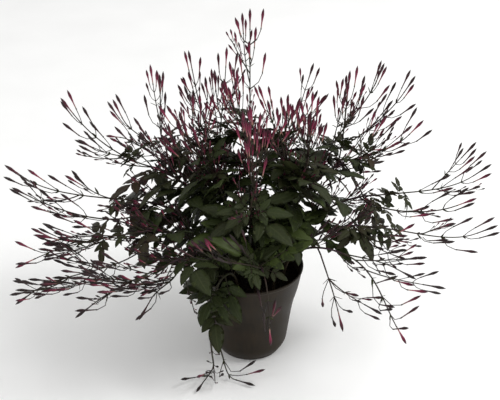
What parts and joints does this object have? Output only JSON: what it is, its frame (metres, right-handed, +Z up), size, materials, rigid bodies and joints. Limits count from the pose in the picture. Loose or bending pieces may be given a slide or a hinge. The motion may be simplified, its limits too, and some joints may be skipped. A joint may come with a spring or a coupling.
{
  "type": "potted pink jasmine plant",
  "caption": "Bushy pink jasmine with pinnate leaves and sprays of slender unopened crimson buds, growing in a plain round plastic nursery pot.",
  "frame": {"origin": "middle of the pot's flat foot, on the surface that it stands on", "axes": "+Z up along the pot's axis, -Y towards the side that the plant is seen from, +X to the right of that view"},
  "size_m": [0.5676, 0.3785, 0.412],
  "materials": {
    "pot_plastic": "satin",
    "potting_soil": "matte",
    "leaf": "satin",
    "flower_bud": "matte"
  },
  "bodies": {
    "root": {"pot": "pot_plastic", "soil": "potting_soil", "stem_left": "leaf", "stem_left_high": "leaf", "stem_left_low": "leaf", "stem_front_left": "leaf", "stem_trailing": "leaf", "stem_front": "leaf", "stem_front_right": "leaf", "stem_right_low": "leaf", "stem_right": "leaf", "stem_right_high": "leaf", "stem_back_right": "leaf", "stem_back": "leaf", "stem_back_left": "leaf", "stem_left_back": "leaf", "stem_crown": "leaf", "stem_crown_left": "leaf", "stem_crown_right": "leaf", "stem_crown_front": "leaf", "stem_heart": "leaf", "spray_left_1": "flower_bud", "spray_left_2": "flower_bud", "spray_left_high_1": "flower_bud", "spray_left_high_2": "flower_bud", "spray_left_low_1": "flower_bud", "spray_left_low_2": "flower_bud", "spray_left_low_3": "flower_bud", "spray_front_left_1": "flower_bud", "spray_front_left_2": "flower_bud", "spray_trailing_1": "flower_bud", "spray_trailing_2": "flower_bud", "spray_front_1": "flower_bud", "spray_front_2": "flower_bud", "spray_front_right_1": "flower_bud", "spray_front_right_2": "flower_bud", "spray_front_right_3": "flower_bud", "spray_right_low_1": "flower_bud", "spray_right_low_2": "flower_bud", "spray_right_1": "flower_bud", "spray_right_2": "flower_bud", "spray_right_high_1": "flower_bud", "spray_right_high_2": "flower_bud", "spray_back_right_1": "flower_bud", "spray_back_right_2": "flower_bud", "spray_back_right_3": "flower_bud", "spray_back_1": "flower_bud", "spray_back_2": "flower_bud", "spray_back_left_1": "flower_bud", "spray_back_left_2": "flower_bud", "spray_back_left_3": "flower_bud", "spray_left_back_1": "flower_bud", "spray_left_back_2": "flower_bud", "spray_crown_1": "flower_bud", "spray_crown_2": "flower_bud", "spray_crown_left_1": "flower_bud", "spray_crown_left_2": "flower_bud", "spray_crown_right_1": "flower_bud", "spray_crown_right_2": "flower_bud", "spray_crown_front_1": "flower_bud"}
  },
  "joints": []
}
